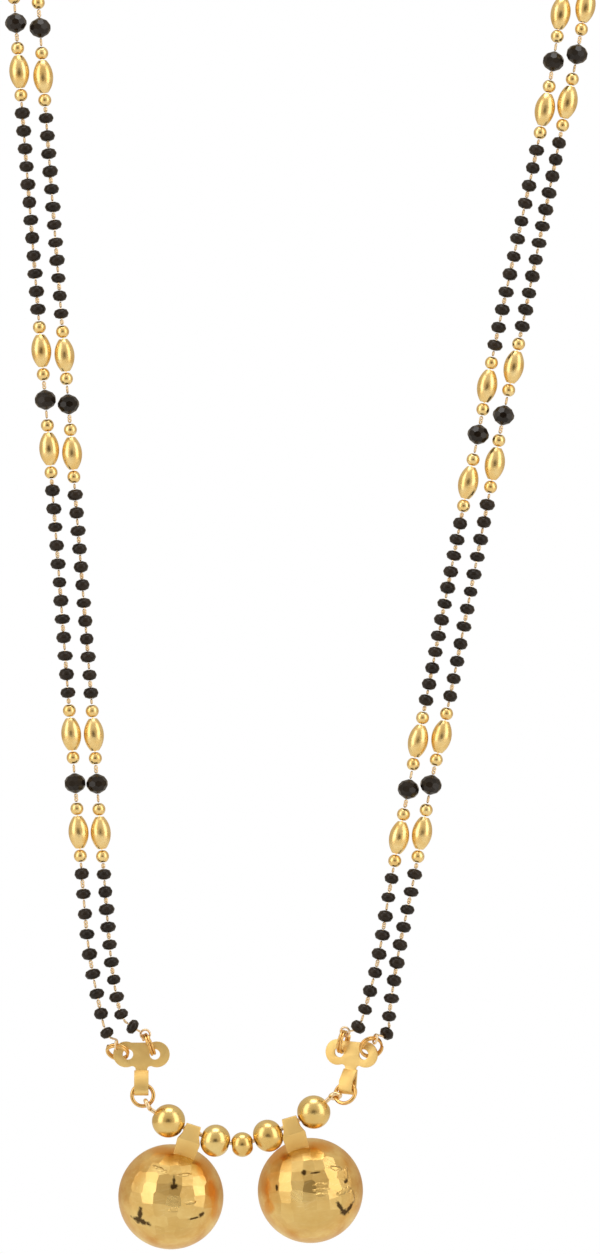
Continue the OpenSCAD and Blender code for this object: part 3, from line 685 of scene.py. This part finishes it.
def eyeLoop(string, front):  # the last loop of the string, round the double ring or the back ring
    if front:
        axis, centre = ringTangent(string.front, string.frontAngle), string.at(0)
        toward = string.at(sizes["frontGap"])
    else:
        axis, centre = ringTangent(string.back, string.backAngle), string.at(string.total)
        toward = string.at(string.total - sizes["backGap"])
    ahead = toward - centre
    u = (ahead - axis * ahead.dot(axis)).normalized()
    turn = Matrix((u, axis.cross(u), axis)).transposed().to_4x4()
    deselectAll()
    bpy.ops.mesh.primitive_torus_add(major_segments=eye["sides"], minor_segments=eye["wireSides"],
                                     major_radius=eye["radius"], minor_radius=eye["wire"])
    loop = bpy.context.object
    loop.data.transform(Matrix.Translation(centre) @ turn)
    smoothBy(loop, 80)
    start = centre + u * (eye["radius"] + eye["gap"])
    span = toward - start
    stand = Matrix.Translation((start + toward) / 2) @ span.to_track_quat("Z", "Y").to_matrix().to_4x4()
    stem = placed(linkPin, stand @ Matrix.Diagonal((eye["stem"], eye["stem"], span.length / mm, 1)))
    return [loop, stem]


uneven = {"tilt": 5, "wide": (0.93, 1.04), "tall": (0.86, 1.06)}  # of the seed beads: degrees and shares


def makeString(string):
    chance = random.Random(sum(map(ord, string.name)))
    tilt = uneven["tilt"]
    items = stringBeads(string)
    seeds, balls, crystals, links = [], [], [], []
    for i, (kind, s, half) in enumerate(items):
        wobble = rotation(chance.uniform(-tilt, tilt), "X") @ rotation(chance.uniform(-tilt, tilt), "Y")
        spin = chance.uniform(0, 360)
        if kind == "seed":
            wide, tall = chance.uniform(*uneven["wide"]), chance.uniform(*uneven["tall"])
            shape = Matrix.Diagonal((wide, wide, tall, 1))
            seeds.append(placed(seedBead, string.stand(s, spin) @ wobble @ shape))
        elif kind == "black":
            crystals.append(placed(crystalBead, string.stand(s, spin)))
        else:
            balls.append(placed(chance.choice(ovalBeads), string.stand(s, spin)))
            for way in (-1, 1):
                balls.append(placed(smallBall, string.stand(s + way * (farBall - ovalPlace), spin)))
        straight = string.stand(s) @ Matrix.Diagonal((1, 1, 2 * half / mm * link["pinShare"], 1))
        links.append(placed(linkPin, straight))
        for way in (-1, 1):
            if not 0 <= i + way < len(items):
                continue
            other = items[i + way]
            gap = abs(other[1] - s) - half - other[2]
            length = gap / 2 + link["overlap"] / 2
            quarter = 90 * ((i + (way > 0)) % 2) + link["turn"]
            end = string.stand(s + way * half, quarter) @ rotation(180 if way < 0 else 0, "X")
            links.append(placed(linkLoop, end @ Matrix.Diagonal((1, 1, length / mm, 1))))
    links += eyeLoop(string, True) + eyeLoop(string, False)
    for parts, label, material, slotName, node in (
            (seeds, "_seed_beads", seedGlass, "black_glass", "_seeds"),
            (balls, "_gold_beads", beadGold, "gold", "_gold"),
            (crystals, "_cut_beads", facetedGlass, "black_glass", "_black"),
            (links, "_links", wireGold, "gold_wire", "_wire")):
        dress(joined(parts, string.name + label), material, "necklace", slotName, string.name + node)


for string in strings:
    makeString(string)
    print(string.name, "strung")
for template in [seedBead, linkLoop, linkPin, smallBall, crystalBead] + ovalBeads:
    discard(template)


# Cups: a domed shell with flat cuts over its middle, on a folded strip

swing = {joint["child"]: Vector(joint["pos_m"]) for joint in frame["joints"]}
cup = {"sphere": 9.75 * mm, "depth": 8.0 * mm, "wall": 0.5 * mm, "hang": 12.85 * mm, "rimY": 4.0 * mm,
       "mesh": (112, 72), "rows": 5, "columns": 4, "cutWide": 14.2, "cutTall": 11.6, "wideError": 0.5,
       "tallError": 0.4, "cutReach": 52, "reachError": (-5, 3), "cutTilt": 2.4, "cutDepth": 0.13 * mm,
       "depthError": (0.92, 1.12), "rimRound": 0.14 * mm, "flatArea": 0.6 * mm * mm, "smooth": 4.2}
cups = {
    "left": {"lean": 17.7, "gridTurn": -14, "shift": (4.0, 1.5), "chance": 5, "bailTop": 0.584 * mm,
             # middle X and Z, half width and height in millimetres, turn
             # painted dark reflections: middle X and Z, half width and height, turn
             "stains": [(0.65, 3.2, 0.34, 1.1, 0), (0.7, 2.3, 0.75, 0.6, 0), (-5.5, -2.8, 0.5, 1.45, -6),
                        (-5.2, -4.1, 2.0, 0.55, -22), (-5.7, -3.85, 1.0, 0.75, -20),
                        (5.65, -2.9, 0.75, 0.42, 35), (4.3, -3.5, 1.1, 0.2, 14)],
             "creases": [(2.6, 4.4, 1.3, 0.3, 6), (-1.8, 5.4, 1.4, 0.3, -25), (3.7, -0.6, 1.1, 0.3, 10),
                         (0.6, -1.9, 0.9, 0.5, 0)],
             # glow: painted orange reflections near the rim
             "glow": [(6.1, 5.2, 2.4, 1.3, -55), (7.6, 1.2, 1.1, 2.8, 5), (-0.8, 8.4, 3.4, 0.9, 4),
                      (7.9, -2.4, 0.8, 1.8, -10)]},
    "right": {"lean": -16.1, "gridTurn": 12, "shift": (-1.0, 3.5), "chance": 11, "bailTop": 0.724 * mm,
              # painted dark reflections
              "stains": [(-1.15, 3.75, 0.5, 0.55, 0), (1.0, 3.7, 1.1, 0.2, 6), (5.5, -2.75, 1.6, 0.4, -60),
                         (7.15, -2.8, 1.35, 0.36, 56), (6.2, -3.6, 0.8, 0.7, 0), (6.5, 2.0, 0.45, 0.4, 10),
                         (-6.1, 0.8, 0.25, 0.7, 0)],
              "creases": [(4.6, 4.4, 1.4, 0.4, -12), (6.5, 3.3, 0.4, 1.2, 0), (6.0, 0.2, 1.5, 0.45, 22),
                          (7.6, -0.8, 0.45, 1.1, 10), (1.8, 1.6, 1.3, 0.3, 5), (1.9, 0.6, 1.4, 0.3, 5),
                          (1.8, -0.3, 1.2, 0.3, 5)],
              # glow: painted orange reflections near the rim
              "glow": [(-5.8, 6.8, 2.8, 1.2, 45), (-8.3, 1.2, 1.0, 2.9, 0), (1.5, 8.2, 2.8, 0.9, -8),
                       (-7.6, -2.8, 0.9, 1.7, 0)]},
}


def cupMatrix(side):
    return Matrix.Translation(swing[side + "_cup"]) @ rotation(cups[side]["lean"], "Y")


# shape of each soft ragged patch, used for the painted dark reflections, the painted orange reflections and the
# crease dents
stain = {"ragged": 1.4, "full": 1.25, "gone": 1.8, "strength": 0.8}


def addPatch(tree, vector, ragged, x, z, halfWide, halfTall, turn):  # fades out at the edge of a ragged oval
    place = addNode(tree, "Mapping", {
        "Vector": vector, "Location": (x * mm, 0, z * mm), "Rotation": (0, math.radians(-turn), 0),
        "Scale": (halfWide * mm, 1, halfTall * mm)}, vector_type="TEXTURE")["Vector"]
    away = addNode(tree, "VectorMath", {0: place}, operation="LENGTH")["Value"]
    edge = addMath(tree, "ADD", away, addMath(tree, "MULTIPLY", ragged, stain["ragged"]))
    return addRange(tree, edge, stain["full"], stain["gone"], stain["strength"], 0.0)


def addPatches(tree, vector, ragged, places):
    found = None
    for place in places:
        spot = addPatch(tree, vector, ragged, *place)
        found = spot if found is None else addMath(tree, "MAXIMUM", found, spot)
    return found


cupLook = {
    "pale": (0.96, 0.85, 0.57), "deep": (0.89, 0.74, 0.44), "toneScale": 240.0,
    # the band tones make the smooth outer band more orange: a painted reflection of the dome's turning edge
    "bandPale": (0.97, 0.85, 0.56), "bandDeep": (0.87, 0.64, 0.32), "bandScale": 260.0,
    "band": (6.0 * mm, 8.4 * mm), "bandGrain": 0.35,
    "flat": (0.84, 0.69, 0.4), "flatShare": 0.6, "flatTurn": 0.6,
    # after the paler rubbed tone: the orange of the painted reflections near the rim and the scale of the noise
    # that rags them
    "rubbed": (1.0, 0.93, 0.72), "rubbedShare": 0.35, "copper": (0.9, 0.63, 0.28), "copperScale": 500.0,
    # colour and share of the painted dark reflections, and the scale of the noise that rags the patch edges
    "stain": (0.2, 0.12, 0.07), "stainShare": 1.15, "stainScale": 1500.0,
    "lineScale": 2300.0, "lineLength": 0.07, "dentScale": 420.0, "hairScale": 900.0,
    "dents": (0.3, 0.1 * mm), "creases": (0.8, 0.3 * mm), "grain": (0.8, 0.045 * mm),
    "rough": (0.27, 0.42), "lineHaze": 0.5, "flatHaze": 0.5,
}


def makeCupGold(side):  # brushed cuts in the middle, a smoother band outside them with a more orange painted edge reflection, a few painted dark reflections and painted orange reflections near the rim
    look, places = cupLook, cups[side]
    sphereY = cup["rimY"] + cup["sphere"] - cup["depth"]
    centre = cupMatrix(side) @ Vector((0, sphereY, -cup["hang"]))
    material, tree, shader, vector = startMaterial(side + "CupGold", centre=centre)
    parts = addNode(tree, "SeparateXYZ", {"Vector": vector})
    squares = [addMath(tree, "MULTIPLY", parts[axis], parts[axis]) for axis in "XZ"]
    radius = addMath(tree, "SQRT", addMath(tree, "ADD", *squares))
    band = addRange(tree, radius, *look["band"], 0.0, 1.0)
    facet, outside = addFaceValue(tree, "facet"), addFaceValue(tree, "outside")
    turned = addNode(tree, "VectorRotate", {
        "Vector": vector, "Angle": addRange(tree, facet, 0.0, 1.0, -look["flatTurn"], look["flatTurn"])},
        rotation_type="Y_AXIS")["Vector"]
    tone = addTone(tree, vector, look["pale"], look["deep"], look["toneScale"])
    # more orange tone of the outer band: painted reflection of the turning edge, with random drift
    warm = addTone(tree, vector, look["bandPale"], look["bandDeep"], look["bandScale"])
    lines = useGroup(tree, "toolLines", turned, {"Scale": look["lineScale"], "Length": look["lineLength"]})
    marks = useGroup(tree, "handMarks", vector, {
        "Dent Scale": look["dentScale"], "Hair Scale": look["hairScale"]})
    shadeShare = addRange(tree, facet, 0.0, 1.0, 0.0, look["flatShare"])
    plating = addMix(tree, band, addMix(tree, shadeShare, tone, linear(look["flat"])), warm)
    rubbed = addMix(tree, addMath(tree, "MULTIPLY", lines["Scratch"], look["rubbedShare"]), plating,
                    linear(look["rubbed"]))
    ragged = addNoise(tree, vector, look["stainScale"], detail=2)
    soft = addNoise(tree, vector, look["copperScale"], detail=3)
    # painted dark reflections, on the outer face only
    darkReflectionMask = addMath(tree, "MULTIPLY", addPatches(tree, vector, ragged, places["stains"]),
                      addMath(tree, "MULTIPLY", outside, look["stainShare"]))
    # painted orange reflections near the rim, on the outer face only
    glow = addMath(tree, "MULTIPLY", outside, addPatches(tree, vector, soft, places["glow"]))
    crease = addMath(tree, "MULTIPLY", outside, addPatches(tree, vector, ragged, places["creases"]))
    copper = addMix(tree, glow, rubbed, linear(look["copper"]))
    grain = addMath(tree, "MULTIPLY", lines["Height"], addRange(tree, band, 0.0, 1.0, 1.0, look["bandGrain"]))
    dents = addBump(tree, marks["Height"], *look["dents"])
    dents = addBump(tree, crease, *look["creases"], dents)
    haze = addShares(tree, lines["Scratch"], look["lineHaze"], facet, look["flatHaze"])
    feed(tree, shader, {
        "Base Color": addMix(tree, darkReflectionMask, copper, linear(look["stain"])), "Metallic": 1.0,
        "Roughness": addRange(tree, haze, 0.0, 1.0, *look["rough"]),
        "Normal": addBump(tree, grain, *look["grain"], dents)})
    return material


def modelCup(side):
    look = cups[side]
    chance, radius = random.Random(look["chance"]), cup["sphere"]
    segments, rings = cup["mesh"]
    deselectAll()
    bpy.ops.mesh.primitive_uv_sphere_add(segments=segments, ring_count=rings, radius=radius,
                                         rotation=(math.radians(90), 0, 0))
    shell = bpy.context.object
    settle(shell)
    turnGrid = rotation(look["gridTurn"], "Y", 3)
    shiftX, shiftZ = look["shift"]
    wideError, tallError = cup["wideError"], cup["tallError"]
    for row in range(-cup["rows"], cup["rows"] + 1):
        for column in range(-cup["columns"], cup["columns"] + 1):
            yaw = column * cup["cutWide"] + shiftX + chance.uniform(-wideError, wideError)
            rise = row * cup["cutTall"] + shiftZ + chance.uniform(-tallError, tallError)
            direction = rotation(yaw, "Z", 3) @ rotation(rise, "X", 3) @ Vector((0, -1, 0))
            away = math.degrees(math.acos(-direction.y))
            if away > cup["cutReach"] + chance.uniform(*cup["reachError"]):
                continue
            direction = turnGrid @ direction
            tilt = Vector((chance.uniform(-1, 1), 0, chance.uniform(-1, 1))) * math.radians(cup["cutTilt"])
            deep = cup["cutDepth"] * chance.uniform(*cup["depthError"])
            cutOff(shell, direction * (radius - deep), (direction + tilt).normalized())
    cutOff(shell, (0, cup["depth"] - radius, 0), (0, 1, 0), fill=False)  # the rim, after every flat is closed
    shell.modifiers.new("wall", "SOLIDIFY").thickness = cup["wall"]
    shell.modifiers["wall"].offset = -1
    roundEdges(shell, cup["rimRound"], 55)
    facet = shell.data.attributes.new("facet", "FLOAT", "FACE")  # one value for each flat, by its direction
    outside = shell.data.attributes.new("outside", "FLOAT", "FACE")  # 0 on the hollow side
    for face in shell.data.polygons:
        value = 0.5
        if face.area > cup["flatArea"]:
            direction = round(face.normal.x * 300) * 1009 + round(face.normal.z * 300)
            value = random.Random(direction).random()
        facet.data[face.index].value = value
        outside.data[face.index].value = float(face.normal.dot(face.center) > 0)
    smoothBy(shell, cup["smooth"])
    sphereY = cup["rimY"] + radius - cup["depth"]
    shell.data.transform(cupMatrix(side) @ Matrix.Translation((0, sphereY, -cup["hang"])))
    shell.name = side + "_cup_shell"
    dress(shell, makeCupGold(side), side + "_cup", "gold", side + "_vati")
    print(side, "cup cut:", len(shell.data.polygons), "faces")


bail = {"topWide": 2.7 * mm, "neckWide": 3.2 * mm, "wide": 4.3 * mm, "footWide": 4.0 * mm, "depth": 3.5 * mm,
        "sheet": 0.5 * mm, "fold": 0.6 * mm, "neckZ": -0.9 * mm, "creaseZ": -1.8 * mm, "wideZ": -2.1 * mm,
        "closedZ": -3.6 * mm, "closedWide": 0.5 * mm, "footZ": -4.9 * mm, "footBack": 0.9 * mm,
        "footThick": 1.2 * mm, "rearLift": 0.45 * mm, "frontDrop": 0.2 * mm, "round": 0.12 * mm}


def prism(points, axis, half):  # an outline drawn from a circle's points and pushed out both ways
    deselectAll()
    bpy.ops.mesh.primitive_circle_add(vertices=len(points), radius=1 * mm, fill_type="NGON")
    solid = bpy.context.object
    for vertex, (a, b) in zip(solid.data.vertices, points):
        vertex.co = (-half, a, b) if axis == "X" else (a, -half, b)
    editAll(solid)
    step = (2 * half, 0, 0) if axis == "X" else (0, 2 * half, 0)
    bpy.ops.mesh.extrude_region_move(TRANSFORM_OT_translate={"value": step})
    bpy.ops.mesh.select_all(action="SELECT")
    bpy.ops.mesh.normals_make_consistent(inside=False)
    doneEditing()
    return solid


def combine(piece, other, operation):
    modifier = piece.modifiers.new("combine", "BOOLEAN")
    modifier.operation, modifier.object, modifier.solver = operation, other, "EXACT"
    applyModifiers(piece)
    discard(other)


def modelBail(side):
    top, sheet, crease, fold = cups[side]["bailTop"], bail["sheet"], bail["depth"] / 2, bail["fold"]
    outerTop, outerFold, closed, foot = top + sheet, fold + sheet, bail["closedWide"] / 2, bail["footThick"] / 2
    creaseZ, closedZ, footZ, footBack = bail["creaseZ"], bail["closedZ"], bail["footZ"], bail["footBack"]
    sideHalf, frontHalf, hollowHalf, lowest = 4 * mm, 4 * mm, 6 * mm, -8 * mm  # past the strip on all sides
    strip = prism([(-outerFold, outerTop), (outerFold, outerTop), (crease, creaseZ),
                   (footBack + foot, footZ + bail["rearLift"]), (footBack - foot, footZ - bail["frontDrop"]),
                   (footBack - foot, footZ), (-crease, creaseZ)], "X", sideHalf)
    edge = [(bail["topWide"] / 2, outerTop + mm), (bail["topWide"] / 2, outerTop),
            (bail["neckWide"] / 2, bail["neckZ"]), (bail["wide"] / 2, bail["wideZ"]),
            (bail["footWide"] / 2, footZ), (bail["footWide"] / 2, lowest)]
    front = prism(edge + [(-x, z) for x, z in reversed(edge)], "Y", frontHalf)
    hollow = prism([(-fold, top), (fold, top), (crease - sheet, creaseZ), (footBack + closed, closedZ),
                    (footBack - closed, closedZ), (sheet - crease, creaseZ)], "X", hollowHalf)
    combine(strip, front, "INTERSECT")
    combine(strip, hollow, "DIFFERENCE")
    weld(strip, merge["wire"])
    bpy.ops.mesh.dissolve_limited(angle_limit=math.radians(1))
    doneEditing()
    roundEdges(strip, bail["round"], 12)
    smoothBy(strip, 35)
    strip.data.transform(cupMatrix(side))
    strip.name = side + "_bail"
    dress(strip, sheetGold, side + "_cup", "gold", side + "_vati")


for side in cups:
    modelCup(side)
    modelBail(side)
print("cups and bails made")


# End bars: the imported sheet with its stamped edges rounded

bar = {"round": 0.1 * mm, "sharp": 40, "flat": 2, "smooth": 35}


def roundBar(side):
    piece = frame["nodes"][side + "_end_bar"].copy()
    piece.data = piece.data.copy()
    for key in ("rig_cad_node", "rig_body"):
        if key in piece:
            del piece[key]
    piece.parent = None
    show(piece)
    weld(piece, merge["sheet"])
    bpy.ops.mesh.dissolve_limited(angle_limit=math.radians(bar["flat"]))
    doneEditing()
    roundEdges(piece, bar["round"], bar["sharp"])
    smoothBy(piece, bar["smooth"])
    piece.name = side + "_stamped_bar"
    dress(piece, sheetGold, "necklace", "gold", side + "_end_bar")


for side in ("left", "right"):
    roundBar(side)


# Double rings: two turns of wire side by side

coil = {"wire": 0.25 * mm, "pitch": 0.5 * mm, "turns": 2.0, "perTurn": 40, "start": 60, "roundness": 3}


def modelDoubleRing(string, ring):
    centre, toHole, alongWire = ringFrame(ring)
    axis = toHole.cross(alongWire)
    curve = bpy.data.curves.new(string.name + "_coil", "CURVE")
    curve.dimensions = "3D"
    curve.bevel_depth, curve.bevel_resolution, curve.use_fill_caps = coil["wire"], coil["roundness"], True
    steps = int(coil["turns"] * coil["perTurn"])
    spline = curve.splines.new("POLY")
    spline.points.add(steps)
    for i, point in enumerate(spline.points):
        share = i / steps
        angle = 2 * math.pi * coil["turns"] * share + math.radians(ring["hold"] + coil["start"])
        place = centre + sizes["ringRadius"] * (math.cos(angle) * toHole + math.sin(angle) * alongWire) \
            + axis * coil["pitch"] * coil["turns"] * (share - 0.5)
        point.co = (*place, 1)
    piece = bpy.data.objects.new(string.name + "_coil", curve)
    show(piece)
    pick(piece)
    bpy.ops.object.convert(target="MESH")
    piece = bpy.context.object
    weld(piece, merge["wire"])
    bpy.ops.mesh.normals_make_consistent(inside=False)
    doneEditing()
    smoothBy(piece, 60)
    dress(piece, ringGold, "necklace", "gold", string.name + "_ring")


for string, ring in zip(strings, doubleRings):
    modelDoubleRing(string, ring)
print("bars and double rings made")


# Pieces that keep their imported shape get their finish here

keptFinishes = (
    (wireGold, ["row_wire"]),
    (ringGold, ["left_plain_ring", "right_plain_ring", "left_back_ring", "right_back_ring", "s_hook"]),
    (polishedGold, ["left_large_ball", "left_medium_ball", "centre_ball", "right_medium_ball",
                    "right_large_ball"]),
)
for material, names in keptFinishes:
    for name in names:
        node = frame["nodes"][name]
        node.data.materials.clear()
        node.data.materials.append(material)


# Floor and light

studio = {"floorZ": -0.36, "floorRadius": 0.8, "floorSides": 96, "floorRough": 0.7,
          "floorTones": {"Pale": (0.86, 0.86, 0.86, 1), "Deep": (0.8, 0.8, 0.79, 1), "Scale": 9.0},
          "boxAway": 0.95, "boxTurn": 60, "boxRise": 0.12, "boxSize": (0.55, 1.9), "boxPower": 4.4,
          "topPlace": (0, -0.1, 1.1), "topSize": (0.7, 0.5), "topPower": 3.5}
room = {"dark": (0.04, 0.03, 0.02, 1), "darkEdge": (0.92, 0.98), "wallLow": (0.53, 0.42, 0.29, 1),
        "wallHigh": (0.68, 0.62, 0.53, 1), "wallEdge": (-0.5, 0.9), "backdrop": (1, 1, 1, 1)}
deselectAll()
bpy.ops.mesh.primitive_circle_add(vertices=studio["floorSides"], radius=studio["floorRadius"],
                                  fill_type="NGON", location=(0, camera["frontPlane"], studio["floorZ"]))
floor = bpy.context.object
floor.name = "floor"
floorMaterial, floorTree, floorShader, floorVector = startMaterial("paleFloor")
floorTone = useGroup(floorTree, "toneDrift", floorVector, studio["floorTones"])["Color"]
feed(floorTree, floorShader, {"Base Color": floorTone, "Roughness": studio["floorRough"]})
floor.data.materials.append(floorMaterial)


def addLight(name, place, target, size, power):
    light = bpy.data.lights.new(name, "AREA")
    light.shape, light.size, light.size_y = "RECTANGLE", size[0], size[1]
    light.energy = power
    lamp = bpy.data.objects.new(name, light)
    lamp.location = place
    lamp.rotation_euler = (Vector(target) - Vector(place)).to_track_quat("-Z", "Y").to_euler()
    show(lamp)


aim = Vector((0, camera["frontPlane"], camera["height"]))
for side, way in (("left", -1), ("right", 1)):
    angle = math.radians(studio["boxTurn"])
    place = aim + studio["boxAway"] * Vector((way * math.sin(angle), -math.cos(angle), studio["boxRise"]))
    addLight(side + "SoftBox", place, aim, studio["boxSize"], studio["boxPower"])
addLight("topSoftBox", aim + Vector(studio["topPlace"]), aim, studio["topSize"], studio["topPower"])

world = bpy.data.worlds.new("studio")
world.use_nodes = True
bpy.context.scene.world = world
worldTree = world.node_tree
background = worldTree.nodes["Background"]
direction = addNode(worldTree, "TexCoord", {})["Generated"]
split = addNode(worldTree, "SeparateXYZ", {"Vector": direction})
backward = addMath(worldTree, "MULTIPLY", split["Y"], -1.0)
nearCamera = addRange(worldTree, backward, *room["darkEdge"], 0.0, 1.0)  # the dark part of the room
height = addRange(worldTree, split["Z"], *room["wallEdge"], 0.0, 1.0)
wallTone = addMix(worldTree, height, room["wallLow"], room["wallHigh"])
roomTone = addMix(worldTree, nearCamera, wallTone, room["dark"])
seen = addNode(worldTree, "LightPath", {})["Is Camera Ray"]
feed(worldTree, background, {"Color": addMix(worldTree, seen, roomTone, room["backdrop"])})
bpy.context.scene.view_settings.view_transform = "Standard"
print("floor and light set")

print("pieces finished")
